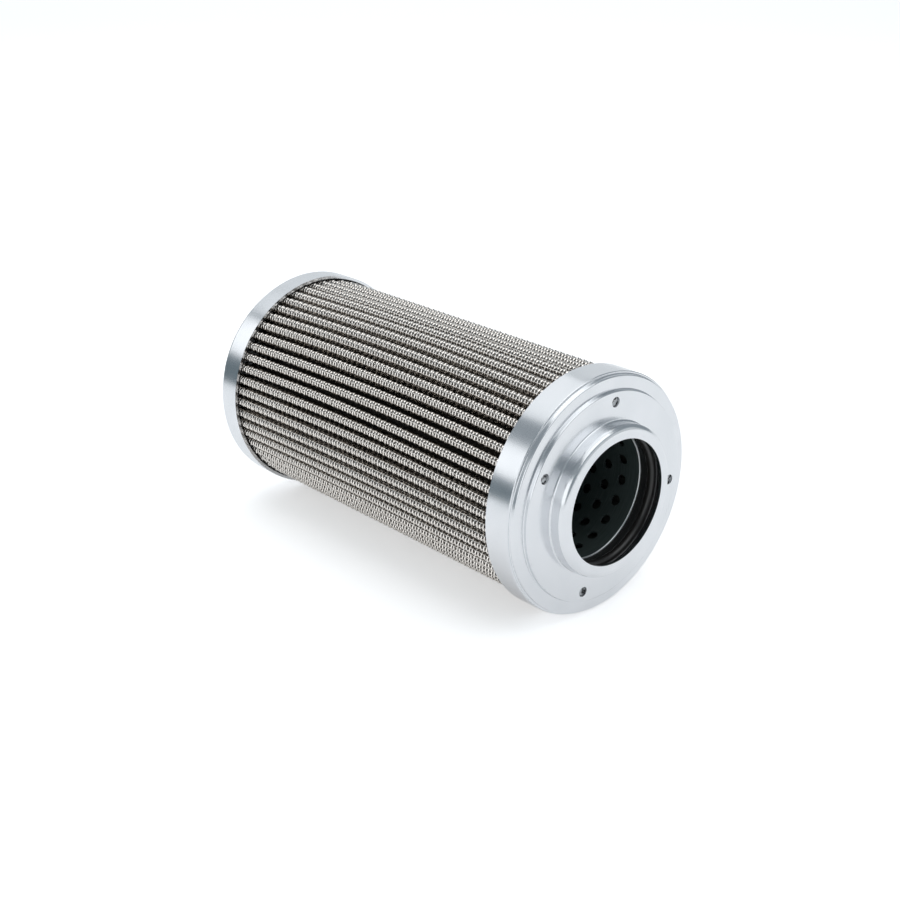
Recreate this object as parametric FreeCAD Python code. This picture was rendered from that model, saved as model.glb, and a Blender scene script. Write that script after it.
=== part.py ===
# Hydraulic filter element. A pleated pack of wire mesh and glass fibre stands round a perforated
# core tube, glued into two pressed steel end caps. One cap is closed, and the other has a neck
# with an O-ring that seals on the outlet pipe.
# Sizes are in millimetres. The element stands on its closed end, +Z runs up its axis, and the
# origin is the centre of the closed end's outer face.
import FreeCAD
import Part
import math
import os

# Every diameter is worked outward from the bore that takes the outlet pipe
bore_diameter = 40.5

# End caps, pressed from sheet
cap_sheet = 1.0
rim_spacing = 144.0
outlet_skirt = 9.0
blind_skirt = 8.0
rim_ledge = 0.75
outer_step = 1.5
inner_step = 1.3
step_slant = 0.2
step_shelf = 4.1
rim_bend = 0.5
step_foot_bend = 0.25
step_crown_bend = 0.45

# Neck of the outlet cap, with its lip turned in to the bore and faced flat
neck_height = 5.0
neck_base_bend = 0.5
neck_top_bend = 2.5
lip_facing = 0.04

# Vent holes in the outlet cap, a little outside the middle of its flat face and not quite
# evenly spaced, with their angles in degrees
vent_angles = (0, 100, 191, 258)
vent_diameter = 3.3
vent_outset = 1.1
vent_fill_height = 0.2
vent_fill_clearance = 0.15

# Seal in the neck, on the ring that keeps it from dropping into the element
o_ring_section = 3.2
o_ring_proud = 0.1
o_ring_height = 2.8
seal_clearance = 0.05
support_setback = 0.6
support_chamfer = 0.5
support_seat = 0.5

# Core tube, rolled from perforated sheet
core_setback = 0.75
core_wall = 0.8
core_top_drop = 1.55
core_hole_diameter = 5.0
core_hole_rows = 12
core_holes_per_row = 10
core_end_margin = 7.5

# Pleated pack, from its outer face inwards, with as many pleats as fit at the valleys' pitch.
# The pack's turn is in degrees, from the first vent hole to a crest.
pleat_height = 15.5
valley_pitch = 2.62
crest_radius = 1.3
valley_radius = 0.15
pack_core_clearance = 0.2
pack_cap_clearance = 0.5
layers = (
    ("outer_mesh", 0.38),
    ("prefilter_fleece", 0.12),
    ("glass_fibre_media", 0.30),
    ("inner_mesh", 0.22),
)
seam_foot_gap = 1.0
seam_clearance = 0.03
pack_turn = 3.8

# Adhesive that bonds the pack and the core to each cap
adhesive_recess = 4.0

# Where a run between two bends is short, the share of it that each bend may take
most_of_run = 0.45

# Radii and heights that follow from the sizes above
bore_radius = bore_diameter / 2
o_ring_radius = bore_radius - o_ring_proud + o_ring_section / 2
neck_radius = o_ring_radius + o_ring_section / 2 + seal_clearance + cap_sheet
core_bore_radius = bore_radius + core_setback
core_radius = core_bore_radius + core_wall
pack_bore_radius = core_radius + pack_core_clearance
pleat_tip_radius = pack_bore_radius + pleat_height
cap_radius = pleat_tip_radius + pack_cap_clearance + cap_sheet
face_rise = outer_step + inner_step
blind_rim_z = face_rise
outlet_rim_z = blind_rim_z + rim_spacing
core_top_z = outlet_rim_z - core_top_drop
core_bottom_z = cap_sheet
pack_bottom_z = blind_rim_z + blind_skirt - adhesive_recess
pack_top_z = outlet_rim_z - outlet_skirt + adhesive_recess
pack_wall = sum(thickness for name, thickness in layers)
valley_centre_radius = pack_bore_radius + pack_wall + valley_radius
pleat_count = int(2 * math.pi * valley_centre_radius / valley_pitch)
half_pleat = math.pi / pleat_count


def vector(x, y, z=0.0):
    """Returns a FreeCAD vector."""
    return FreeCAD.Vector(x, y, z)


def turned(point, angle):
    """Returns a point of the XY plane turned round the axis by an angle in radians."""
    c, s = math.cos(angle), math.sin(angle)
    return vector(point.x * c - point.y * s, point.x * s + point.y * c, point.z)


def mirrored(point):
    """Returns a point of the XY plane mirrored in the X axis."""
    return vector(point.x, -point.y, point.z)


# Profiles: each corner is (radius, height, bend radius)

def bent_edges(corners, closed=False):
    """Returns the edges through the corners, with a tangent arc at each corner that bends.

    Where the runs beside a corner are short, the arc is as large as they let it be.
    """
    points = [vector(radius, 0, height) for radius, height, bend in corners]
    count = len(points)
    starts, ends, arcs = [], [], []
    for i, point in enumerate(points):
        bend = corners[i][2]
        if bend <= 0:
            starts.append(point)
            ends.append(point)
            arcs.append(None)
            continue
        arriving = (point - points[i - 1]).normalize()
        leaving = (points[(i + 1) % count] - point).normalize()
        turn = arriving.getAngle(leaving)
        room = min((point - points[i - 1]).Length, (points[(i + 1) % count] - point).Length)
        reach = min(bend * math.tan(turn / 2), room * most_of_run)
        bend = reach / math.tan(turn / 2)
        inward = (leaving - arriving).normalize()
        crown = point + inward * (bend / math.cos(turn / 2) - bend)
        starts.append(point - arriving * reach)
        ends.append(point + leaving * reach)
        arcs.append(Part.Arc(starts[i], crown, ends[i]).toShape())
    edges = []
    for i in range(count):
        if arcs[i]:
            edges.append(arcs[i])
        if i + 1 < count or closed:
            edges.append(Part.LineSegment(ends[i], starts[(i + 1) % count]).toShape())
    return edges


def inner_corners(corners, thickness):
    """Returns the corners of a sheet's other face, on the left of the way the corners run."""
    points = [vector(radius, 0, height) for radius, height, bend in corners]
    ways = [(b - a).normalize() for a, b in zip(points, points[1:])]
    ways = [ways[0]] + ways + [ways[-1]]
    result = []
    for i, (radius, height, bend) in enumerate(corners):
        before, after = ways[i], ways[i + 1]
        left_before = vector(-before.z, 0, before.x)
        left_after = vector(-after.z, 0, after.x)
        shift = (left_before + left_after) * (thickness / (1 + left_before.dot(left_after)))
        turns_left = before.x * after.z - before.z * after.x > 0
        inner_bend = 0.0
        if bend > 0:
            inner_bend = max(bend - thickness, 0.0) if turns_left else bend + thickness
        result.append((radius + shift.x, height + shift.z, inner_bend))
    return result


def revolved(edges):
    """Returns the solid that a closed profile in the XZ plane sweeps round the axis."""
    face = Part.Face(Part.Wire(Part.__sortEdges__(edges)))
    return face.revolve(vector(0, 0), vector(0, 0, 1), 360)


def pressed_cap(corners):
    """Returns a cap of constant sheet whose outer face runs through the corners."""
    outer = bent_edges(corners)
    inner_path = inner_corners(corners, cap_sheet)
    inner = bent_edges(inner_path)
    joins = []
    for i in (0, -1):
        outer_end = vector(corners[i][0], 0, corners[i][1])
        inner_end = vector(inner_path[i][0], 0, inner_path[i][1])
        joins.append(Part.LineSegment(outer_end, inner_end).toShape())
    return revolved(outer + inner + joins)


def stepped_face(skirt):
    """Returns the corners that both caps share, with heights counted outward from the rim."""
    shelf_outer = cap_radius - rim_ledge - step_slant
    shelf_inner = shelf_outer - step_shelf
    return [
        (cap_radius, -skirt, 0),
        (cap_radius, 0, rim_bend),
        (cap_radius - rim_ledge, 0, step_foot_bend),
        (shelf_outer, outer_step, step_crown_bend),
        (shelf_inner, outer_step, step_foot_bend),
        (shelf_inner - step_slant, face_rise, step_crown_bend),
    ]


def outlet_corners():
    """Returns the outer face of the outlet cap as pressed, from its skirt to its bore."""
    neck_top = face_rise + neck_height + lip_facing
    corners = stepped_face(outlet_skirt) + [
        (neck_radius, face_rise, neck_base_bend),
        (neck_radius, neck_top, neck_top_bend),
        (bore_radius, neck_top, 0),
    ]
    return [(radius, outlet_rim_z + height, bend) for radius, height, bend in corners]


def blind_corners():
    """Returns the outer face of the closed cap before it is turned face down."""
    corners = stepped_face(blind_skirt) + [(0, face_rise, 0)]
    return [(radius, height - face_rise, bend) for radius, height, bend in corners]


def face_down(shape):
    """Returns a shape of revolution turned upside down about the origin."""
    return shape.mirror(vector(0, 0), vector(0, 0, 1))


def vent_pins(diameter, bottom, height):
    """Returns one pin at each vent hole."""
    face_outer = stepped_face(outlet_skirt)[-1][0]
    face_inner = neck_radius + neck_base_bend
    vent_radius = (face_outer + face_inner) / 2 + vent_outset
    pins = []
    for angle in vent_angles:
        place = turned(vector(vent_radius, 0, bottom), math.radians(angle))
        pins.append(Part.makeCylinder(diameter / 2, height, place))
    return pins


def outlet_end_cap():
    """Returns the cap with the neck, its lip faced flat, and the vent holes."""
    cap = pressed_cap(outlet_corners())
    face_z = outlet_rim_z + face_rise
    facing_cut = Part.makeCylinder(cap_radius, neck_height, vector(0, 0, face_z + neck_height))
    vents = vent_pins(vent_diameter, face_z - 2 * cap_sheet, 3 * cap_sheet)
    return cap.cut([facing_cut] + vents)


def blind_end_cap():
    """Returns the closed cap, face down."""
    return face_down(pressed_cap(blind_corners()))


def o_ring():
    """Returns the seal, which stands just proud of the lip's bore."""
    place = vector(0, 0, outlet_rim_z + o_ring_height)
    return Part.makeTorus(o_ring_radius, o_ring_section / 2, place)


def support_radius():
    """Returns the outer radius of the seal's support ring, where the neck's bend begins."""
    return neck_radius + neck_base_bend


def seal_support_ring():
    """Returns the ring between the core tube's end and the O-ring."""
    inner = core_bore_radius + support_setback
    outer = support_radius()
    top = outlet_rim_z + o_ring_height - o_ring_section / 2 - seal_clearance
    neck_bore = neck_radius - cap_sheet - 2 * seal_clearance
    corners = [
        (inner, core_top_z, 0),
        (outer, core_top_z, 0),
        (outer, top - support_seat, 0),
        (neck_bore, top - support_seat, 0),
        (neck_bore, top, 0),
        (inner + support_chamfer, top, 0),
        (inner, top - support_chamfer, 0),
    ]
    return revolved(bent_edges(corners, closed=True))


def core_tube():
    """Returns the tube with its rows of holes, each row half a hole out of step with the last."""
    height = core_top_z - core_bottom_z
    outer = Part.makeCylinder(core_radius, height, vector(0, 0, core_bottom_z))
    bore = Part.makeCylinder(core_bore_radius, height, vector(0, 0, core_bottom_z))
    tube = outer.cut(bore)
    row_step = (height - 2 * core_end_margin) / (core_hole_rows - 1)
    hole_step = 2 * math.pi / core_holes_per_row
    pins = []
    for row in range(core_hole_rows):
        z = core_bottom_z + core_end_margin + row * row_step
        for hole in range(core_holes_per_row):
            angle = (hole + row % 2 / 2) * hole_step
            way = turned(vector(1, 0), angle)
            start = way * (core_bore_radius - core_wall) + vector(0, 0, z)
            pins.append(Part.makeCylinder(core_hole_diameter / 2, 3 * core_wall, start, way))
    return tube.cut(pins)


# Pleats: every layer's faces keep the same arc centres, so the layers nest face to face

def flank_normal():
    """Returns the centres of a crest and of the valley beside it, and their common normal."""
    crest = vector(pleat_tip_radius - crest_radius, 0)
    valley = turned(vector(valley_centre_radius, 0), half_pleat)
    between = valley - crest
    lean = math.acos((crest_radius + valley_radius) / between.Length)
    return crest, valley, turned(between.normalize(), -lean)


def pleat_points(depth):
    """Returns the crest's top, the flank's ends and the valley's foot, depth below the face."""
    crest, valley, normal = flank_normal()
    top = crest + vector(crest_radius - depth, 0)
    flank_top = crest + normal * (crest_radius - depth)
    flank_foot = valley - normal * (valley_radius + depth)
    foot = turned(vector(valley_centre_radius - valley_radius - depth, 0), half_pleat)
    return top, flank_top, flank_foot, foot


def pleated_wire(depth):
    """Returns the closed outline of the pack, depth below its outer face.

    The outer face is rounded at crests and valleys, and the faces inside it are bevelled.
    """
    top, flank_top, flank_foot, foot = pleat_points(depth)
    next_foot = turned(mirrored(flank_foot), 2 * half_pleat)
    edges = []
    for i in range(pleat_count):
        angle = 2 * half_pleat * i
        a, b, c, d, e, f = [
            turned(point, angle)
            for point in (mirrored(flank_top), top, flank_top, flank_foot, foot, next_foot)
        ]
        g = turned(mirrored(flank_top), angle + 2 * half_pleat)
        if depth > 0:
            path = (a, b, c, d, e, f, g)
            edges += [Part.LineSegment(p, q).toShape() for p, q in zip(path, path[1:])]
        else:
            edges += [
                Part.Arc(a, b, c).toShape(),
                Part.LineSegment(c, d).toShape(),
                Part.Arc(d, e, f).toShape(),
                Part.LineSegment(f, g).toShape(),
            ]
    return Part.Wire(edges)


def raised(face):
    """Returns a piece of the pack, from the adhesive in one cap to that in the other."""
    piece = face.extrude(vector(0, 0, pack_top_z - pack_bottom_z))
    piece.translate(vector(0, 0, pack_bottom_z))
    piece.rotate(vector(0, 0), vector(0, 0, 1), pack_turn)
    return piece


def pleated_layer(outer_depth, inner_depth):
    """Returns one layer of the pack."""
    wires = [pleated_wire(outer_depth), pleated_wire(inner_depth)]
    return raised(Part.makeFace(wires, "Part::FaceMakerBullseye"))


def side_seam():
    """Returns the bead that joins the pack's two ends, between the legs of one pleat."""
    top, flank_top, flank_foot, foot = pleat_points(pack_wall + seam_clearance)
    low = flank_foot + (flank_top - flank_foot).normalize() * seam_foot_gap
    corners = (top, flank_top, low, mirrored(low), mirrored(flank_top), top)
    return raised(Part.Face(Part.makePolygon(corners)))


# Adhesive

def adhesive_ring(corners, inner_end, level):
    """Returns the adhesive under a cap's face.

    The corners are those of the cap's outer face, inner_end is the rest of the profile from the
    face inwards, and level is the adhesive's free surface.
    """
    under_face = inner_corners(corners, cap_sheet)[1:6]
    wall = (cap_radius - cap_sheet, level, 0)
    return revolved(bent_edges([wall] + under_face + inner_end, closed=True))


def outlet_adhesive():
    """Returns the adhesive in the outlet cap, with what rose into the vent holes."""
    under_z = outlet_rim_z + face_rise - cap_sheet
    inner_end = [
        (support_radius(), under_z, 0),
        (support_radius(), core_top_z, 0),
        (core_radius, core_top_z, 0),
        (core_radius, pack_top_z, 0),
    ]
    ring = adhesive_ring(outlet_corners(), inner_end, pack_top_z)
    bottom = under_z - cap_sheet
    fill = vent_pins(vent_diameter - 2 * vent_fill_clearance, bottom, cap_sheet + vent_fill_height)
    return ring.fuse(fill)


def blind_adhesive():
    """Returns the adhesive in the closed cap."""
    inner_end = [(core_radius, -core_bottom_z, 0), (core_radius, -pack_bottom_z, 0)]
    return face_down(adhesive_ring(blind_corners(), inner_end, -pack_bottom_z))


def build():
    """Returns every piece by name."""
    pieces = {
        "outlet_end_cap": outlet_end_cap(),
        "blind_end_cap": blind_end_cap(),
        "o_ring": o_ring(),
        "seal_support_ring": seal_support_ring(),
        "core_tube": core_tube(),
        "side_seam": side_seam(),
        "outlet_adhesive": outlet_adhesive(),
        "blind_adhesive": blind_adhesive(),
    }
    depth = 0.0
    for name, thickness in layers:
        pieces[name] = pleated_layer(depth, depth + thickness)
        depth += thickness
    return pieces


os.makedirs("parts", exist_ok=True)
for name, shape in build().items():
    shape.exportStep("parts/" + name + ".step")
    print(name, "valid" if shape.isValid() else "INVALID", len(shape.Solids), round(shape.Volume, 2))
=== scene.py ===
"""Dresses the hydraulic filter element: woven pleats, plated caps, perforated core and studio.

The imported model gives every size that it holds. Lengths here are in metres, and the element
stands on its closed end with +Z up its axis. In the picture it lies on its side, so the floor
is a plane that touches the two caps' skirts, and the camera's up is that plane's normal.
"""
import logging
import math
from dataclasses import dataclass
from enum import Enum
from typing import Any, Iterable

import bpy
import numpy as np
from mathutils import Matrix, Vector


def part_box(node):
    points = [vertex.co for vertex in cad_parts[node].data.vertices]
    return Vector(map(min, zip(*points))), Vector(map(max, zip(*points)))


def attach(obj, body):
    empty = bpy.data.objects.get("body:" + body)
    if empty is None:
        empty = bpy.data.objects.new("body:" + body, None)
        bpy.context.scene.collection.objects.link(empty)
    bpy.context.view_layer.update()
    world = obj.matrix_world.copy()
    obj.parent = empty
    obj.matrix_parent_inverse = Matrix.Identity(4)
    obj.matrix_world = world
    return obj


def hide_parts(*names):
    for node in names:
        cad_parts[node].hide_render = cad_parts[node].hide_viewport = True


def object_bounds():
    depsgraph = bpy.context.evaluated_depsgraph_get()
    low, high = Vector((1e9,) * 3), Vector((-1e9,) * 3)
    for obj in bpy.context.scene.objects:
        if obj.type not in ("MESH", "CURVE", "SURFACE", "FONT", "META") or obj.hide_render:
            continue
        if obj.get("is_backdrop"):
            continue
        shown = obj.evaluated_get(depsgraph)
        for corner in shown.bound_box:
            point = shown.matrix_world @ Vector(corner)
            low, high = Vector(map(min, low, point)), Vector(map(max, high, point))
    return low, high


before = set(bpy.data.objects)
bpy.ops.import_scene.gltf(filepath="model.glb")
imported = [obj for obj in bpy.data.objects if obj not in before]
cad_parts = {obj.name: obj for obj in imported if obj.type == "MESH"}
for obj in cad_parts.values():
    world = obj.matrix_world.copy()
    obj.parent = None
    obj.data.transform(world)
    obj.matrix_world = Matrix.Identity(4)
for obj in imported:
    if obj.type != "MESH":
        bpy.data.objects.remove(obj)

LOG = logging.getLogger("filter_element")
MM = 0.001
BODY = "root"
Colour = tuple[float, float, float]
BLACK: Colour = (0.0, 0.0, 0.0)
WHITE: Colour = (1.0, 1.0, 1.0)


class Ending(Enum):
    """The two ends of the element."""

    OUTLET = "outlet"
    BLIND = "blind"


class Way(Enum):
    """The two ways in which the wires of the woven mesh run."""

    ALONG = "along"
    ACROSS = "across"


# Shader maths

# The Mix node's sockets for colours, which share their names with those for numbers
MIX_FIRST, MIX_SECOND, MIX_RESULT = 6, 7, 2


class Signal:
    """A number that varies over a surface. Its arithmetic adds Math nodes."""

    def __init__(self, paint: "Paint", socket: bpy.types.NodeSocket) -> None:
        """Keeps the socket and the material that it belongs to."""
        self.paint = paint
        self.socket = socket

    def _join(self, operation: str, first: Any, second: Any = None) -> "Signal":
        """Adds one Math node.

        Args:
            operation: The Math node's operation.
            first: A Signal or a number.
            second: A Signal, a number or nothing.

        Returns:
            The node's result.
        """
        values = {0: first} if second is None else {0: first, 1: second}
        node = self.paint.node("ShaderNodeMath", {"operation": operation}, values)
        return Signal(self.paint, node.outputs[0])

    def __add__(self, other: Any) -> "Signal":
        """Returns self + other."""
        return self._join("ADD", self, other)

    __radd__ = __add__

    def __sub__(self, other: Any) -> "Signal":
        """Returns self - other."""
        return self._join("SUBTRACT", self, other)

    def __rsub__(self, other: Any) -> "Signal":
        """Returns other - self."""
        return self._join("SUBTRACT", other, self)

    def __mul__(self, other: Any) -> "Signal":
        """Returns self * other."""
        return self._join("MULTIPLY", self, other)

    __rmul__ = __mul__

    def __pow__(self, other: Any) -> "Signal":
        """Returns self ** other."""
        return self._join("POWER", self, other)

    def turn_from(self, x: "Signal") -> "Signal":
        """Returns the angle of the place whose x is given and whose y is self, in radians."""
        return self._join("ARCTAN2", self, x)

    def at_most(self, ceiling: float) -> "Signal":
        """Returns the smaller of self and the ceiling."""
        return self._join("MINIMUM", self, ceiling)


class Paint:
    """A new material with one Principled BSDF, and the ways to add nodes to it."""

    def __init__(self, name: str) -> None:
        """Makes the material.

        Args:
            name: The material's name.
        """
        self.material = bpy.data.materials.new(name)
        self.material.use_nodes = True
        self.tree = self.material.node_tree
        self.shader = next(n for n in self.tree.nodes if n.type == "BSDF_PRINCIPLED")

    def node(self, kind: str, settings: dict[str, Any], values: dict[Any, Any]) -> bpy.types.Node:
        """Adds a node.

        Args:
            kind: The node's type.
            settings: Its properties, which are set first.
            values: A value, a socket or a Signal for each of its inputs, by name or number.

        Returns:
            The new node.
        """
        node = self.tree.nodes.new(kind)
        for name, setting in settings.items():
            setattr(node, name, setting)
        for name, value in values.items():
            self.feed(node.inputs[name], value)
        return node

    def feed(self, target: bpy.types.NodeSocket, value: Any) -> None:
        """Links or sets an input.

        Args:
            target: The input.
            value: A Signal or a socket, which is linked, or a plain value, which is set. Three
                numbers are a colour where the input takes one.
        """
        if isinstance(value, Signal):
            value = value.socket
        if isinstance(value, bpy.types.NodeSocket):
            self.tree.links.new(value, target)
        elif isinstance(value, tuple) and len(value) == 3 and target.type == "RGBA":
            target.default_value = (*value, 1.0)
        else:
            target.default_value = value

    def place(self) -> tuple[Signal, Signal, Signal]:
        """Finds the surface point.

        Returns:
            Its x, y and z in millimetres.
        """
        where = self.node("ShaderNodeTexCoord", {}, {}).outputs["Object"]
        parts = self.node("ShaderNodeSeparateXYZ", {}, {0: where}).outputs
        x, y, z = (Signal(self, part) * (1 / MM) for part in parts)
        return x, y, z

    def round_place(self) -> tuple[Signal, Signal, Signal]:
        """Finds the surface point from the axis.

        Returns:
            Its radius in millimetres, its angle in radians and its height in millimetres.
        """
        x, y, z = self.place()
        radius = (x * x + y * y) ** 0.5
        return radius, y.turn_from(x), z

    def vector(self, x: Any, y: Any, z: Any) -> bpy.types.NodeSocket:
        """Returns the vector of three numbers."""
        return self.node("ShaderNodeCombineXYZ", {}, {0: x, 1: y, 2: z}).outputs[0]

    def noise(self, where: bpy.types.NodeSocket, scale: float, detail: float) -> Signal:
        """Returns noise from 0 to 1 at a place, with the given scale and detail."""
        values = {"Vector": where, "Scale": scale, "Detail": detail}
        return Signal(self, self.node("ShaderNodeTexNoise", {}, values).outputs["Fac"])

    def blend(self, share: Any, first: Any, second: Any) -> bpy.types.NodeSocket:
        """Mixes two colours.

        Args:
            share: The second colour's share, from 0 to 1.
            first: The first colour.
            second: The second colour.

        Returns:
            The mix.
        """
        values = {0: share, MIX_FIRST: first, MIX_SECOND: second}
        node = self.node("ShaderNodeMix", {"data_type": "RGBA"}, values)
        return node.outputs[MIX_RESULT]

    def bump(self, height: Signal, depth: float) -> bpy.types.NodeSocket:
        """Returns the normal of a surface with the height signal, whose 1 is depth in metres."""
        values = {"Height": height, "Distance": depth, "Strength": 1.0}
        return self.node("ShaderNodeBump", {}, values).outputs["Normal"]

    def finish(self, **sockets: Any) -> bpy.types.Material:
        """Feeds the shader.

        Args:
            **sockets: What each of its sockets gets, by name, with _ for a space.

        Returns:
            The material.
        """
        for name, value in sockets.items():
            self.feed(self.shader.inputs[name.replace("_", " ")], value)
        return self.material


# Finishes


@dataclass(frozen=True)
class Grain:
    """Noise from 0 to 1 over a surface, with its scale to a millimetre and its detail."""

    scale: float
    detail: float

    def over(self, paint: Paint) -> Signal:
        """Returns the noise at the surface point."""
        return paint.noise(paint.vector(*paint.place()), self.scale, self.detail)


@dataclass(frozen=True)
class Fade:
    """The share of a finish's second colour: how far noise rises past a start, times a gain."""

    start: float
    gain: float

    def share(self, noise: Signal) -> Signal:
        """Returns the share at the surface point."""
        return (noise - self.start) * self.gain


@dataclass(frozen=True)
class ZincPlate:
    """Bright zinc plating on pressed sheet, with a faint grain round the axis.

    The grain's lines are counted to a millimetre across them and to a radian along them.
    """

    colour: Colour = (0.78, 0.79, 0.81)
    dull_colour: Colour = (0.70, 0.72, 0.74)
    dulling: Fade = Fade(0.35, 1.4)
    roughness: float = 0.15
    roughness_spread: float = 0.12
    cloud: Grain = Grain(0.09, 4.0)
    speck: Grain = Grain(3.0, 2.0)
    speck_share: float = 0.4
    lines_across: float = 9.0
    lines_along: float = 1.5
    lines_detail: float = 3.0
    grain_depth: float = 0.0006 * MM

    def material(self) -> bpy.types.Material:
        """Builds the finish.

        Returns:
            The material.
        """
        paint = Paint("zinc_plate")
        radius, angle, z = paint.round_place()
        where = paint.vector(
            radius * self.lines_across, z * self.lines_across, angle * self.lines_along
        )
        rings = paint.noise(where, 1.0, self.lines_detail)
        cloud, speck = self.cloud.over(paint), self.speck.over(paint)
        patches = cloud * (1 - self.speck_share) + speck * self.speck_share
        return paint.finish(
            Base_Color=paint.blend(self.dulling.share(cloud), self.colour, self.dull_colour),
            Metallic=1.0,
            Roughness=self.roughness + patches * self.roughness_spread,
            Normal=paint.bump(rings + speck * self.speck_share, self.grain_depth),
        )


@dataclass(frozen=True)
class NitrileRubber:
    """Black moulded seal, slightly oily."""

    colour: Colour = (0.016, 0.015, 0.014)
    roughness: float = 0.24
    roughness_spread: float = 0.12
    grain: Grain = Grain(4.0, 3.0)
    grain_depth: float = 0.01 * MM

    def material(self) -> bpy.types.Material:
        """Builds the finish.

        Returns:
            The material.
        """
        paint = Paint("nitrile_rubber")
        grain = self.grain.over(paint)
        return paint.finish(
            Base_Color=self.colour,
            Roughness=self.roughness + grain * self.roughness_spread,
            Normal=paint.bump(grain, self.grain_depth),
        )


@dataclass(frozen=True)
class BlackSteel:
    """Dark coated sheet with drawing lines that run round the axis.

    The lines are counted to a millimetre across them and to a radian along them.
    """

    colour: Colour = (0.062, 0.085, 0.082)
    worn_colour: Colour = (0.115, 0.140, 0.138)
    wear: Fade = Fade(0.4, 2.5)
    metallic: float = 0.4
    roughness: float = 0.42
    lines_across: float = 5.0
    lines_along: float = 2.0
    lines_detail: float = 3.0
    line_depth: float = 0.03 * MM

    def material(self) -> bpy.types.Material:
        """Builds the finish.

        Returns:
            The material.
        """
        paint = Paint("black_steel")
        radius, angle, z = paint.round_place()
        where = paint.vector(angle * self.lines_along, z * self.lines_across, radius)
        lines = paint.noise(where, 1.0, self.lines_detail)
        return paint.finish(
            Base_Color=paint.blend(self.wear.share(lines), self.colour, self.worn_colour),
            Metallic=self.metallic,
            Roughness=self.roughness,
            Normal=paint.bump(lines, self.line_depth),
        )


@dataclass(frozen=True)
class BareEdge:
    """Bright steel where the core's sheet was cut."""

    colour: Colour = (0.72, 0.74, 0.74)
    roughness: float = 0.25
    roughness_spread: float = 0.25
    wear: Grain = Grain(0.6, 3.0)

    def material(self) -> bpy.types.Material:
        """Builds the finish.

        Returns:
            The material.
        """
        paint = Paint("bare_edge")
        wear = self.wear.over(paint)
        return paint.finish(
            Base_Color=self.colour,
            Metallic=1.0,
            Roughness=self.roughness + wear * self.roughness_spread,
        )


@dataclass(frozen=True)
class StainlessWire:
    """Drawn stainless wire, with some of it dulled."""

    colour: Colour = (0.97, 0.92, 0.865)
    dull_colour: Colour = (0.85, 0.795, 0.74)
    dulling: Fade = Fade(0.46, 5.0)
    roughness: float = 0.13
    roughness_spread: float = 0.10
    spots: Grain = Grain(0.9, 2.0)

    def material(self) -> bpy.types.Material:
        """Builds the finish.

        Returns:
            The material.
        """
        paint = Paint("stainless_wire")
        spot = self.spots.over(paint)
        return paint.finish(
            Base_Color=paint.blend(self.dulling.share(spot), self.colour, self.dull_colour),
            Metallic=1.0,
            Roughness=self.roughness + spot * self.roughness_spread,
        )


@dataclass(frozen=True)
class PaintedShadeUnderWeave:
    """What shows between the wires: a sheet whose dark colour is painted shade, standing for the
    fleece in the shadow of the weave.
    """

    colour: Colour = (0.055, 0.048, 0.041)
    fibre_colour: Colour = (0.20, 0.175, 0.150)
    fibre_share: Fade = Fade(0.4, 2.5)
    roughness: float = 0.9
    fibres: Grain = Grain(1.4, 4.0)
    fibre_depth: float = 0.10 * MM

    def material(self) -> bpy.types.Material:
        """Builds the finish.

        Returns:
            The material.
        """
        # The dark base colour is painted shade of the gaps between the wires.
        paint = Paint("painted_shade_under_weave")
        fibre = self.fibres.over(paint)
        return paint.finish(
            Base_Color=paint.blend(self.fibre_share.share(fibre), self.colour, self.fibre_colour),
            Roughness=self.roughness,
            Normal=paint.bump(fibre, self.fibre_depth),
        )


@dataclass(frozen=True)
class PlainCloth:
    """A plain finish with a faint grain, for cloth, resin and coated steel inside, and card."""

    name: str
    colour: Colour
    other_colour: Colour
    metallic: float = 0.0
    roughness: float = 0.8
    fibres: Grain = Grain(2.0, 5.0)
    fibre_depth: float = 0.05 * MM

    def material(self) -> bpy.types.Material:
        """Builds the finish.

        Returns:
            The material.
        """
        paint = Paint(self.name)
        fibre = self.fibres.over(paint)
        return paint.finish(
            Base_Color=paint.blend(fibre, self.colour, self.other_colour),
            Metallic=self.metallic,
            Roughness=self.roughness,
            Normal=paint.bump(fibre, self.fibre_depth),
        )


@dataclass(frozen=True)
class CuredAdhesive:
    """Glossy resin that rose a little way into the vent holes. Its pale patches are painted glints
    and its near-black patches are painted shade where it sank.
    """

    # The pale colour is a painted glint and the near-black one is painted shade.
    colour: Colour = (0.62, 0.63, 0.64)
    painted_shade_colour: Colour = (0.006, 0.006, 0.007)
    painted_glint_share: Fade = Fade(0.42, 9.0)
    roughness: float = 0.12
    roughness_spread: float = 0.1
    ripples: Grain = Grain(0.7, 2.0)
    ripple_depth: float = 0.6 * MM

    def material(self) -> bpy.types.Material:
        """Builds the finish.

        Returns:
            The material.
        """
        paint = Paint("cured_adhesive")
        ripple = self.ripples.over(paint)
        # Painted glints and painted shade, spread along the ripples.
        return paint.finish(
            Base_Color=paint.blend(self.painted_glint_share.share(ripple), self.painted_shade_colour, self.colour),
            Roughness=self.roughness + ripple * self.roughness_spread,
            Normal=paint.bump(ripple, self.ripple_depth),
        )


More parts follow.
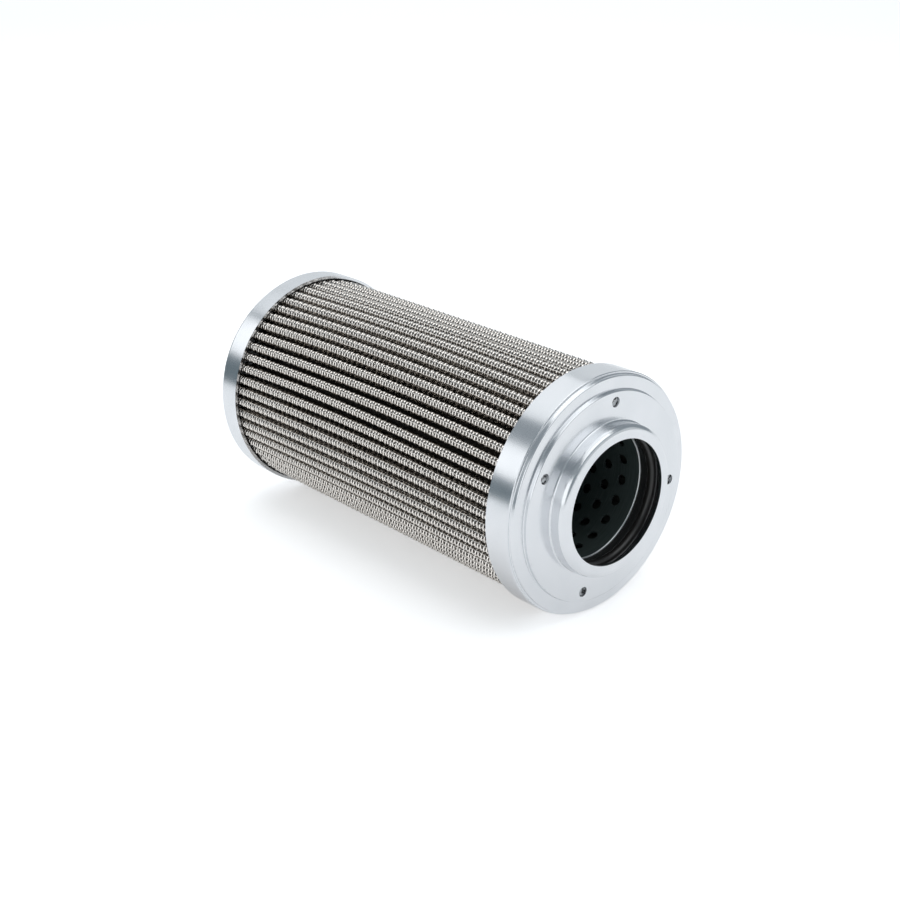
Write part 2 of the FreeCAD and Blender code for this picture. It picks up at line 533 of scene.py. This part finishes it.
@dataclass(frozen=True)
class PaleFloor:
    """White paper, which shows on its upper side only and has a glow of its own.

    The glow lights nothing. The camera and what mirrors the floor see it, so that the floor
    is white round the object's shadow.
    """

    colour: Colour = (0.93, 0.93, 0.93)
    glow_seen: float = 0.46
    glow_mirrored: float = 0.24
    roughness: float = 0.9
    roughness_spread: float = 0.05
    paper: Grain = Grain(0.02, 2.0)

    def material(self) -> bpy.types.Material:
        """Builds the finish.

        Returns:
            The material.
        """
        paint = Paint("pale_floor")
        paper = self.paper.over(paint)
        path = paint.node("ShaderNodeLightPath", {}, {}).outputs
        kinds = ("Is Camera Ray", "Is Glossy Ray", "Is Transmission Ray")
        seen, glossy, passed = (Signal(paint, path[kind]) for kind in kinds)
        glow = seen * self.glow_seen + (glossy + passed).at_most(1.0) * self.glow_mirrored
        paint.finish(
            Base_Color=self.colour,
            Roughness=self.roughness + paper * self.roughness_spread,
            Emission_Color=paint.blend(glow, BLACK, WHITE),
            Emission_Strength=1.0,
            Specular_IOR_Level=0.0,
        )
        clear = paint.node("ShaderNodeBsdfTransparent", {}, {})
        back = paint.node("ShaderNodeNewGeometry", {}, {}).outputs["Backfacing"]
        values = {0: back, 1: paint.shader.outputs[0], 2: clear.outputs[0]}
        sides = paint.node("ShaderNodeMixShader", {}, values)
        output = next(n for n in paint.tree.nodes if n.type == "OUTPUT_MATERIAL")
        paint.feed(output.inputs["Surface"], sides.outputs[0])
        return paint.material


# Meshes


@dataclass
class Piece:
    """A new mesh made from numbered points and faces."""

    name: str
    points: np.ndarray
    faces: np.ndarray

    def build(self, materials: Iterable[bpy.types.Material]) -> bpy.types.Object:
        """Makes the object.

        Args:
            materials: The materials of its slots, in order.

        Returns:
            The object, smooth all over.
        """
        mesh = bpy.data.meshes.new(self.name)
        corners = self.faces.shape[1]
        mesh.vertices.add(len(self.points))
        mesh.vertices.foreach_set("co", self.points.astype(np.float32).ravel())
        mesh.loops.add(self.faces.size)
        mesh.loops.foreach_set("vertex_index", self.faces.astype(np.int32).ravel())
        mesh.polygons.add(len(self.faces))
        starts = np.arange(0, self.faces.size, corners, dtype=np.int32)
        mesh.polygons.foreach_set("loop_start", starts)
        mesh.update(calc_edges=True)
        mesh.validate()
        mesh.shade_smooth()
        for material in materials:
            mesh.materials.append(material)
        piece = bpy.data.objects.new(self.name, mesh)
        bpy.context.scene.collection.objects.link(piece)
        return piece


def grid_faces(rows: int, columns: int, wrap: bool = False) -> np.ndarray:
    """Joins a grid of points.

    Args:
        rows: How many rows of points there are.
        columns: How many points each row has.
        wrap: Whether each row's last point joins its first.

    Returns:
        Four point numbers for each quad.
    """
    row = np.arange(rows - 1)[:, None]
    column = np.arange(columns if wrap else columns - 1)[None, :]
    after = (column + 1) % columns
    here, there = row * columns, (row + 1) * columns
    quads = np.stack([here + column, here + after, there + after, there + column], axis=-1)
    return quads.reshape(-1, 4)


def lathe(radii: np.ndarray, heights: np.ndarray, segments: int) -> tuple[np.ndarray, np.ndarray]:
    """Turns a profile round the axis.

    Args:
        radii: The radii of the profile's points.
        heights: Their heights.
        segments: How many flats the turn has.

    Returns:
        The points and the quads between them, which face the left of the profile's way.
    """
    turns = np.linspace(0, 2 * math.pi, segments, endpoint=False)
    x = radii[:, None] * np.cos(turns)[None, :]
    y = radii[:, None] * np.sin(turns)[None, :]
    z = np.broadcast_to(heights[:, None], x.shape)
    points = np.stack([x, y, z], axis=-1).reshape(-1, 3)
    return points, grid_faces(len(radii), segments, wrap=True)


def dress(node: str, material: bpy.types.Material) -> None:
    """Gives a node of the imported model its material."""
    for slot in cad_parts[node].material_slots:
        slot.material = material


def reach(node: str) -> float:
    """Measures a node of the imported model.

    Args:
        node: Its name.

    Returns:
        How far it reaches from the axis.
    """
    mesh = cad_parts[node].data
    points = np.empty(3 * len(mesh.vertices), np.float32)
    mesh.vertices.foreach_get("co", points)
    return float(np.hypot(points[0::3], points[1::3]).max())


# Sub-assemblies


@dataclass
class EndCaps:
    """The two pressed caps, the seal in the neck and the adhesive under their faces."""

    plate: ZincPlate = ZincPlate()
    rubber: NitrileRubber = NitrileRubber()
    resin: CuredAdhesive = CuredAdhesive()
    # The support ring's near-black is partly its black coating and partly painted shade of the
    # recess in the neck.
    support: PlainCloth = PlainCloth(
        "support_steel", (0.012, 0.013, 0.013), (0.022, 0.024, 0.024), 0.3, 0.55
    )

    def build(self) -> None:
        """Dresses the caps and what they hold."""
        plate = self.plate.material()
        resin = self.resin.material()
        for end in Ending:
            dress(end.value + "_end_cap", plate)
            dress(end.value + "_adhesive", resin)
            LOG.info("dressed the %s end", end.value)
        dress("o_ring", self.rubber.material())
        dress("seal_support_ring", self.support.material())
        LOG.info("dressed the seal and its support")


@dataclass
class CoreTube:
    """The rolled and perforated tube inside the pack, with all of its small holes."""

    holes_per_row: int = 19
    row_count: int = 22
    hole_diameter: float = 3.5 * MM
    first_row: float = 6.7 * MM
    wall: float = 0.8 * MM
    steps_per_hole: int = 8
    steps_up: int = 4
    edge_steps: int = 9
    edge_segments: int = 144
    sharp_angle: float = math.radians(40)

    def build(self) -> None:
        """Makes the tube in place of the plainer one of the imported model."""
        low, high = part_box("core_tube")
        self.outer = reach("core_tube")
        self.inner = self.outer - self.wall
        round_over = self.wall / 2
        self.bottom, self.top = low.z + round_over, high.z - round_over
        flat, quads, rims = self.wall_pattern()
        count = len(flat)
        points = np.concatenate([self.rolled(flat, self.inner), self.rolled(flat, self.outer)])
        sides = [quads, quads[:, ::-1] + count]
        for loop in rims:
            ahead = np.roll(loop, -1)
            sides.append(np.stack([loop, ahead, ahead + count, loop + count], axis=-1))
        piece = Piece("perforated_core", points, np.concatenate(sides))
        tube = piece.build([BlackSteel().material()])
        tube.data.set_sharp_from_angle(angle=self.sharp_angle)
        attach(tube, BODY)
        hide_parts("core_tube")
        LOG.info("made the core with %d holes", self.holes_per_row * self.row_count)
        self.round_ends()

    def round_ends(self) -> None:
        """Rounds the two cut ends of the tube, where the bare steel shines."""
        bare = BareEdge().material()
        middle = (self.inner + self.outer) / 2
        for name, height, way in (("lower", self.bottom, -1), ("upper", self.top, 1)):
            turns = np.linspace(0, math.pi, self.edge_steps)
            radii = middle - self.wall / 2 * np.cos(turns)
            heights = height + way * self.wall / 2 * np.sin(turns)
            points, faces = lathe(radii, heights, self.edge_segments)
            edge = Piece(f"{name}_core_edge", points, faces if way > 0 else faces[:, ::-1])
            edge = edge.build([bare])
            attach(edge, BODY)
            LOG.info("rounded the %s end of the core", name)

    def rolled(self, flat: np.ndarray, radius: float) -> np.ndarray:
        """Returns flat points (turn in radians, height) rolled to a radius."""
        turn, height = flat[:, 0], flat[:, 1]
        return np.stack([radius * np.cos(turn), radius * np.sin(turn), height], axis=-1)

    def wall_pattern(self) -> tuple[np.ndarray, np.ndarray, list[np.ndarray]]:
        """Lays out the wall, unrolled, with one cell round each hole.

        Returns:
            The flat points, the quads between them, and the loops of points round each hole and
            along the two ends.
        """
        across = self.holes_per_row * self.steps_per_hole
        turn_step = 2 * math.pi / across
        span = self.top - self.bottom - 2 * self.first_row
        row_height = span / (self.row_count - 1)
        start = self.bottom + self.first_row - row_height / 2
        flat: list[tuple[float, float]] = []
        numbers: dict[tuple[int, int], int] = {}

        def lattice(column: int, level: int) -> int:
            """Finds a lattice point, and adds it if it is new.

            Args:
                column: Its column, counted round the tube.
                level: Its level, counted up the tube.

            Returns:
                Its number among the flat points.
            """
            key = (column % across, level)
            if key not in numbers:
                numbers[key] = len(flat)
                height = start + level * row_height / self.steps_up
                flat.append((key[0] * turn_step, height))
            return numbers[key]

        quads: list[tuple[int, int, int, int]] = []
        rims: list[np.ndarray] = []
        middle = (self.inner + self.outer) / 2
        for row in range(self.row_count):
            for hole in range(self.holes_per_row):
                left = hole * self.steps_per_hole + (row % 2) * self.steps_per_hole // 2
                below = row * self.steps_up
                ring = self.cell_border(left, below)
                border = [lattice(*place) for place in ring]
                centre_turn = (left + self.steps_per_hole / 2) * turn_step
                centre_height = start + (row + 0.5) * row_height
                first = len(flat)
                for column, level in ring:
                    side = (column * turn_step - centre_turn) * middle
                    rise = start + level * row_height / self.steps_up - centre_height
                    inwards = self.hole_diameter / 2 / math.hypot(side, rise)
                    turn = centre_turn + side * inwards / middle
                    flat.append((turn, centre_height + rise * inwards))
                count = len(ring)
                for i in range(count):
                    j = (i + 1) % count
                    quads.append((border[i], first + i, first + j, border[j]))
                rims.append(np.arange(first, first + count)[::-1])
        for level, edge in ((0, self.bottom), (self.row_count * self.steps_up, self.top)):
            first = len(flat)
            for column in range(across):
                flat.append((column * turn_step, edge))
            for column in range(across):
                after = (column + 1) % across
                inside = (lattice(column, level), lattice(after, level))
                quad = (first + column, inside[0], inside[1], first + after)
                quads.append(quad if level == 0 else quad[::-1])
            loop = np.arange(first, first + across)
            rims.append(loop if level == 0 else loop[::-1])
        return np.array(flat), np.array(quads), rims

    def cell_border(self, left: int, below: int) -> list[tuple[int, int]]:
        """Walks round a cell.

        Args:
            left: The column of its left side.
            below: The level of its lower side.

        Returns:
            The lattice places on its border, anticlockwise from its lower left.
        """
        right, above = left + self.steps_per_hole, below + self.steps_up
        ring = [(column, below) for column in range(left, right)]
        ring += [(right, level) for level in range(below, above)]
        ring += [(column, above) for column in range(right, left, -1)]
        ring += [(left, level) for level in range(above, below, -1)]
        return ring


@dataclass(frozen=True)
class WireSet:
    """The wires of the weave that run one way.

    Their depth below the pack's face is that of their middle line, and their wave is how far
    they rise and fall over the wires that they cross.
    """

    radius: float
    depth: float
    wave: float


@dataclass(frozen=True)
class Layer:
    """A layer under the outer mesh: its node, its material slot, its thickness and its look."""

    node: str
    slot: str
    thickness: float
    cloth: PlainCloth


@dataclass
class PleatedPack:
    """The pleats of woven wire, with the layers that they hold."""

    pleat_count: int = 55
    turn: float = math.radians(3.8)
    crest_radius: float = 1.42 * MM
    valley_radius: float = 0.15 * MM
    core_gap: float = 0.2 * MM
    wire_pitch: float = 1.27 * MM
    wire_stray: float = 0.10 * MM
    wires_each_side: int = 4
    wire_corners: tuple[tuple[float, float], ...] = ((-1.0, -0.3), (0.0, 1.0), (1.0, -0.3))
    lengthwise: WireSet = WireSet(radius=0.12 * MM, depth=0.34 * MM, wave=0.08 * MM)
    crosswise: WireSet = WireSet(radius=0.24 * MM, depth=0.22 * MM, wave=0.12 * MM)
    backing_depth: float = 0.36 * MM
    mesh_thickness: float = 0.38 * MM
    layers: tuple[Layer, ...] = (
        # The fleece's near-black colours are painted shade, as it lies in the shadow of the weave.
        Layer(
            "prefilter_fleece", "fleece", 0.12 * MM,
            PlainCloth("fleece", (0.06, 0.052, 0.046), (0.10, 0.09, 0.08)),
        ),
        Layer(
            "glass_fibre_media", "glass_fibre", 0.30 * MM,
            PlainCloth("glass_fibre", (0.80, 0.80, 0.76), (0.90, 0.90, 0.88)),
        ),
        # The fine mesh's near-black colours are painted shade, which keeps the core's holes black.
        Layer(
            "inner_mesh", "fine_mesh", 0.22 * MM,
            PlainCloth("fine_mesh", (0.03, 0.03, 0.028), (0.08, 0.08, 0.075), 0.8, 0.45),
        ),
    )
    seam: PlainCloth = PlainCloth("seam_resin", (0.30, 0.24, 0.14), (0.36, 0.30, 0.19))
    seam_clearance: float = 0.03 * MM
    seam_foot_gap: float = 1.0 * MM
    bow: float = 1.6 * MM
    drift: float = 0.22 * MM
    drift_waves: int = 2
    lift: float = 0.07 * MM
    lift_waves: float = 1.5
    flank_stops: tuple[float, ...] = (0.3, 0.65, 1.0)
    backing_crest_points: int = 9
    layer_crest_points: int = 5
    seam_crest_points: int = 3
    layer_sharp_angle: float = math.radians(50)
    seam_sharp_angle: float = math.radians(40)
    level_count: int = 28
    group_count: int = 4
    seed: int = 7

    def build(self) -> None:
        """Makes every layer of the pack, leaning and straying as the real pleats do."""
        low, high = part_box("outer_mesh")
        self.bottom, self.top = low.z, high.z
        self.tip = reach("outer_mesh")
        self.half = math.pi / self.pleat_count
        self.crest_centre = self.tip - self.crest_radius
        self.stack = self.mesh_thickness + sum(layer.thickness for layer in self.layers)
        pack_bore = reach("core_tube") + self.core_gap
        self.valley_centre = pack_bore + self.stack + self.valley_radius
        valley_x = self.valley_centre * math.cos(self.half)
        valley_y = self.valley_centre * math.sin(self.half)
        apart = math.hypot(valley_x - self.crest_centre, valley_y)
        way = math.atan2(valley_y, valley_x - self.crest_centre)
        self.lean = way - math.acos((self.crest_radius + self.valley_radius) / apart)
        self.flank = math.sqrt(apart ** 2 - (self.crest_radius + self.valley_radius) ** 2)
        self.rows = int((self.top - self.bottom) / self.wire_pitch)
        self.draw_strays()
        self.build_backing()
        self.build_wires()
        self.build_layers()
        self.build_seam()

    def draw_strays(self) -> None:
        """Draws how each pleat strays, with a row for each wave and a last one, and each wire."""
        spread = np.random.default_rng(self.seed)
        shape = (self.drift_waves + 1, self.pleat_count)
        self.phases = spread.uniform(0, 2 * math.pi, shape)
        self.sizes = spread.uniform(-1, 1, shape)
        shape = (self.pleat_count, self.rows)
        self.strays = spread.uniform(-self.wire_stray, self.wire_stray, shape)

    def across(self, along: np.ndarray, depth: float) -> tuple[np.ndarray, ...]:
        """Places points on one pleat's section.

        Args:
            along: Distances from the crest's top, on the face at the given depth.
            depth: How far the face lies below the pack's outer face.

        Returns:
            The radial and tangential places, and the outward normal's two parts.
        """
        radius = self.crest_radius - depth
        sign = np.sign(along)
        bent = np.minimum(np.abs(along), self.lean * radius)
        past = np.abs(along) - bent
        turn = bent / radius
        normal_x, normal_y = np.cos(turn), np.sin(turn)
        x = self.crest_centre + radius * normal_x - past * normal_y
        y = radius * normal_y + past * normal_x
        return x, y * sign, normal_x, normal_y * sign

    def section(self, depth: float, crest_points: int, foot_gap: float = 0.0) -> np.ndarray:
        """Lays out one pleat's section from foot to foot.

        Args:
            depth: How far the section's face lies below the pack's outer face.
            crest_points: How many points the crest's arc gets.
            foot_gap: How far the flanks stop short of the valleys.

        Returns:
            Distances from the crest's top, for across().
        """
        arc = self.lean * (self.crest_radius - depth)
        flank = arc + (self.flank - foot_gap) * np.array(self.flank_stops)
        return np.concatenate([-flank[::-1], np.linspace(-arc, arc, crest_points), flank])

    def wander(self, pleat: np.ndarray, z: np.ndarray) -> tuple[np.ndarray, np.ndarray]:
        """Works out how the pleats stray.

        Args:
            pleat: The pleat that each point belongs to.
            z: Its height.

        Returns:
            How far the pleats' crests stray sideways and outwards there.
        """
        share = (z - self.bottom) / (self.top - self.bottom)
        waves = sum(
            self.sizes[k][pleat] * np.sin(2 * math.pi * share * (0.5 + k) + self.phases[k][pleat])
            for k in range(self.drift_waves)
        )
        bowed = self.bow * np.sin(math.pi * share)
        sideways = self.drift * (waves + self.sizes[-1][pleat]) / 2 - bowed
        swell = np.sin(2 * math.pi * share * self.lift_waves + self.phases[-1][pleat])
        return sideways, self.lift * swell * self.sizes[0][pleat]

    def placed(
        self, pleat: np.ndarray, z: np.ndarray, x: np.ndarray, y: np.ndarray
    ) -> np.ndarray:
        """Places points of the pack.

        Args:
            pleat: The pleat that each point belongs to.
            z: Its height.
            x: Its radial place on its pleat.
            y: Its tangential place on its pleat.

        Returns:
            The points, strayed as their pleats do.
        """
        sideways, outwards = self.wander(pleat, z)
        weight = np.clip((x - self.valley_centre) / (self.tip - self.valley_centre), 0, 1)
        x = x + outwards * weight
        y = y + sideways * weight
        turn = self.turn + 2 * self.half * pleat
        cos, sin = np.cos(turn), np.sin(turn)
        return np.stack(np.broadcast_arrays(x * cos - y * sin, x * sin + y * cos, z), axis=-1)

    def face_points(self, depth: float, crest_points: int) -> tuple[np.ndarray, int]:
        """Lays out a face of the whole pack.

        Args:
            depth: How far the face lies below the pack's outer face.
            crest_points: How many points each crest's arc gets.

        Returns:
            The face's points, and how many of them each level has.
        """
        x, y = self.across(self.section(depth, crest_points), depth)[:2]
        levels = np.linspace(self.bottom, self.top, self.level_count)
        pleat = np.arange(self.pleat_count)
        points = self.placed(
            pleat[None, :, None], levels[:, None, None], x[None, None, :], y[None, None, :]
        )
        return points.reshape(-1, 3), self.pleat_count * len(x)

    def build_backing(self) -> None:
        """Makes the sheet that closes the openings between the wires, dark with painted shade."""
        points, columns = self.face_points(self.backing_depth, self.backing_crest_points)
        faces = grid_faces(self.level_count, columns, wrap=True)
        piece = Piece("painted_shade_backing", points, faces).build([PaintedShadeUnderWeave().material()])
        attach(piece, BODY)
        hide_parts("outer_mesh")
        LOG.info("made the sheet behind the wires")

    def build_wires(self) -> None:
        """Makes the woven wires of each group of pleats."""
        material = StainlessWire().material()
        groups = np.array_split(np.arange(self.pleat_count), self.group_count)
        for number, group in enumerate(groups):
            sets = [self.wires(way, group) for way in Way]
            shift = len(sets[0][0])
            points = np.concatenate([sets[0][0], sets[1][0]])
            faces = np.concatenate([sets[0][1], sets[1][1] + shift])
            piece = Piece(f"woven_wires_{number}", points, faces).build([material])
            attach(piece, BODY)
            LOG.info("made woven wires %d with %d faces", number, len(faces))

    def wires(self, way: Way, group: np.ndarray) -> tuple[np.ndarray, np.ndarray]:
        """Makes the wires that run one way on a group of pleats.

        Args:
            way: Whether they run along the pleats or across them.
            group: The pleats.

        Returns:
            The points and the quads between them.
        """
        row = np.arange(self.rows)
        first = (self.top - self.bottom - (self.rows - 1) * self.wire_pitch) / 2
        z = self.bottom + first + row * self.wire_pitch
        stray = self.strays[group]
        if way is Way.ALONG:
            wire = self.lengthwise
            column = np.arange(-self.wires_each_side, self.wires_each_side + 1)
            over = np.where((column[:, None] + row[None, :]) % 2 == 0, 1, -1)
            sides, heights = np.meshgrid(column * self.wire_pitch, z, indexing="ij")
            stray = stray[:, None, :]
        else:
            wire = self.crosswise
            fine = np.arange(-2 * self.wires_each_side, 2 * self.wires_each_side + 1)
            parity = np.where(row % 2 == 0, -1, 1)
            over = parity[:, None] * np.cos(math.pi * fine / 2)[None, :]
            heights, sides = np.meshgrid(z, fine * self.wire_pitch / 2, indexing="ij")
            stray = stray[:, :, None]
        x, y, normal_x, normal_y = self.across(sides, wire.depth)
        strips = []
        for side, up in self.wire_corners:
            rise = wire.wave * over + wire.radius * up
            shift = wire.radius * side
            if way is Way.ALONG:
                px = x + normal_x * rise - normal_y * shift
                py = y + normal_y * rise + normal_x * shift
                pz = heights
            else:
                px, py, pz = x + normal_x * rise, y + normal_y * rise, heights - shift
            strips.append(self.placed(group[:, None, None], pz[None] + stray, px[None], py[None]))
        lattice = np.stack(strips, axis=-2)
        pleats, wires, length, corners = lattice.shape[:4]
        faces = grid_faces(length, corners)
        offsets = np.arange(pleats * wires) * length * corners
        return lattice.reshape(-1, 3), (faces[None] + offsets[:, None, None]).reshape(-1, 4)

    def build_layers(self) -> None:
        """Makes the layers under the mesh as closed pleated sheets."""
        depth = self.mesh_thickness
        for layer in self.layers:
            outer, columns = self.face_points(depth, self.layer_crest_points)
            depth += layer.thickness
            inner = self.face_points(depth, self.layer_crest_points)[0]
            skin = grid_faces(self.level_count, columns, wrap=True)
            count = len(outer)
            start = np.arange(columns)
            ahead = (start + 1) % columns
            end = count - columns
            foot = np.stack([start, start + count, ahead + count, ahead], axis=-1)
            head = np.stack([ahead, ahead + count, start + count, start], axis=-1) + end
            faces = np.concatenate([skin, skin[:, ::-1] + count, foot, head])
            points = np.concatenate([outer, inner])
            piece = Piece("bowed_" + layer.node, points, faces).build([layer.cloth.material()])
            piece.data.set_sharp_from_angle(angle=self.layer_sharp_angle)
            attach(piece, BODY)
            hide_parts(layer.node)
            LOG.info("made %s", piece.name)

    def build_seam(self) -> None:
        """Makes the bead between the legs of the first pleat, leaning as they do."""
        depth = self.stack + self.seam_clearance
        section = self.section(depth, self.seam_crest_points, self.seam_foot_gap)
        x, y = self.across(section, depth)[:2]
        levels = np.linspace(self.bottom, self.top, self.level_count)
        points = self.placed(np.array(0), levels[:, None], x[None, :], y[None, :])
        columns = len(x)
        skin = grid_faces(self.level_count, columns, wrap=True)
        ends = []
        for first, flip in ((0, False), ((self.level_count - 1) * columns, True)):
            for i in range(columns // 2):
                quad = [first + i, first + columns - 1 - i, first + columns - 2 - i, first + i + 1]
                ends.append(quad if flip else quad[::-1])
        faces = np.concatenate([skin, np.array(ends)])
        piece = Piece("bowed_side_seam", points.reshape(-1, 3), faces)
        piece = piece.build([self.seam.material()])
        piece.data.set_sharp_from_angle(angle=self.seam_sharp_angle)
        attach(piece, BODY)
        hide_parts("side_seam")
        LOG.info("made the side seam")


@dataclass(frozen=True)
class Softbox:
    """A rectangular lamp that faces the element.

    Its bearing and elevation are in degrees from the way the camera faces, with the right and
    up positive. Its radiance is how bright it looks before the grey room behind it, where 1 is
    white.
    """

    name: str
    bearing: float
    elevation: float
    distance: float
    size: tuple[float, float]
    radiance: float


@dataclass(frozen=True)
class Card:
    """A grey card that stands on the floor in an arc, which the zinc mirrors as a dark streak.

    Its bearings are in degrees, as a softbox's are. Its heights are those of its first and its
    last end. Only mirrors see it, and it casts no shadow.
    """

    name: str
    first_bearing: float
    last_bearing: float
    distance: float
    heights: tuple[float, float]
    steps: int = 25
    cloth: PlainCloth = PlainCloth("grey_card", (0.14, 0.19, 0.215), (0.16, 0.21, 0.235))


@dataclass
class Studio:
    """The floor, a grey card, the lamps, the room round them and the camera."""

    up_angle: float = math.radians(196.08)
    camera_place: Vector = Vector((-0.09270, -0.33566, 0.40403))
    camera_aim: Vector = Vector((0.00644, 0.00307, 0.07870))
    lens: float = 56.63
    sensor: float = 36.0
    nearest_seen: float = 0.01
    farthest_seen: float = 20.0
    floor_size: float = 6.0
    room_colour: Colour = (0.26, 0.30, 0.33)
    softboxes: tuple[Softbox, ...] = (
        Softbox("top_softbox", 60, 84, 2.0, (2.4, 2.0), 0.90),
        Softbox("rear_softbox", -30, 53, 1.2, (1.0, 0.74), 0.74),
        Softbox("left_softbox", -80, 23, 1.0, (0.76, 0.42), 1.00),
        Softbox("back_softbox", -5, 16, 2.6, (3.6, 1.9), 0.48),
        Softbox("right_softbox", 128, 49, 1.1, (1.00, 0.52), 1.00),
        Softbox("low_right_softbox", 105, 12, 1.8, (2.2, 0.8), 0.35),
        Softbox("front_softbox", -146, 18, 1.5, (1.7, 0.9), 1.00),
    )
    card: Card = Card("left_card", -128.0, -50.0, 0.42, (0.060, 0.170))

    def build(self) -> None:
        """Makes the studio round the element."""
        self.up = Vector((math.cos(self.up_angle), math.sin(self.up_angle), 0))
        self.sight = (self.camera_aim - self.camera_place).normalized()
        self.right = self.sight.cross(self.up).normalized()
        self.ahead = self.up.cross(self.right).normalized()
        self.middle = Vector((0, 0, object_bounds()[1].z / 2))
        self.build_floor()
        self.stand_card()
        for softbox in self.softboxes:
            self.hang(softbox)
        self.build_room()
        self.build_camera()

    def build_floor(self) -> None:
        """Lays the floor against the skirts of the caps."""
        centre = self.middle - self.up * reach("outlet_end_cap")
        half = self.floor_size / 2
        corners = [
            centre + self.right * half * a + self.ahead * half * b
            for a, b in ((-1, -1), (1, -1), (1, 1), (-1, 1))
        ]
        floor = Piece("floor", np.array(corners), np.array([[0, 1, 2, 3]]))
        floor.build([PaleFloor().material()])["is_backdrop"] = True
        LOG.info("laid the floor")

    def stand_card(self) -> None:
        """Stands the grey card on the floor, out of the camera's sight."""
        card = self.card
        turns = np.radians(np.linspace(card.first_bearing, card.last_bearing, card.steps))
        ahead, right, up = (np.array(way) for way in (self.ahead, self.right, self.up))
        out = np.cos(turns)[:, None] * ahead + np.sin(turns)[:, None] * right
        foot = np.array(self.middle) - up * reach("outlet_end_cap") + out * card.distance
        heights = np.linspace(*card.heights, len(turns))
        points = np.concatenate([foot, foot + heights[:, None] * up])
        piece = Piece(card.name, points, grid_faces(2, len(turns)))
        piece = piece.build([card.cloth.material()])
        piece.visible_camera = piece.visible_diffuse = piece.visible_shadow = False
        piece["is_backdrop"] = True
        LOG.info("stood %s", card.name)

    def hang(self, softbox: Softbox) -> None:
        """Adds a lamp.

        Args:
            softbox: Its place, its size and its radiance.
        """
        data = bpy.data.lights.new(softbox.name, "AREA")
        data.shape = "RECTANGLE"
        data.size, data.size_y = softbox.size
        # A flat lamp that shines evenly gives off pi times its radiance over its area.
        data.energy = softbox.radiance * math.pi * softbox.size[0] * softbox.size[1]
        lamp = bpy.data.objects.new(softbox.name, data)
        bearing, elevation = math.radians(softbox.bearing), math.radians(softbox.elevation)
        level = self.ahead * math.cos(bearing) + self.right * math.sin(bearing)
        side = self.ahead * math.sin(bearing) - self.right * math.cos(bearing)
        back = level * math.cos(elevation) + self.up * math.sin(elevation)
        above = back.cross(side)
        turn = Matrix((side, above, back)).transposed()
        place = self.middle + back * softbox.distance
        lamp.matrix_world = Matrix.Translation(place) @ turn.to_4x4()
        lamp.visible_camera = False
        bpy.context.scene.collection.objects.link(lamp)
        LOG.info("hung %s", softbox.name)

    def build_room(self) -> None:
        """Gives the room an even grey."""
        world = bpy.data.worlds.new("room")
        world.use_nodes = True
        background = world.node_tree.nodes["Background"]
        background.inputs["Color"].default_value = (*self.room_colour, 1)
        bpy.context.scene.world = world

    def build_camera(self) -> None:
        """Sets up the camera at the photograph's angle."""
        data = bpy.data.cameras.new("camera")
        data.lens = self.lens
        data.sensor_width = self.sensor
        data.clip_start, data.clip_end = self.nearest_seen, self.farthest_seen
        camera = bpy.data.objects.new("camera", data)
        above = self.right.cross(self.sight)
        turn = Matrix((self.right, above, -self.sight)).transposed()
        camera.matrix_world = Matrix.Translation(self.camera_place) @ turn.to_4x4()
        bpy.context.scene.collection.objects.link(camera)
        bpy.context.scene.camera = camera
        bpy.context.scene.view_settings.view_transform = "Standard"


def main() -> None:
    """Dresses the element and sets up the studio."""
    logging.basicConfig(level=logging.INFO, format="%(message)s")
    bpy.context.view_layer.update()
    for part in (EndCaps(), CoreTube(), PleatedPack(), Studio()):
        part.build()


if __name__ == "__main__":
    main()
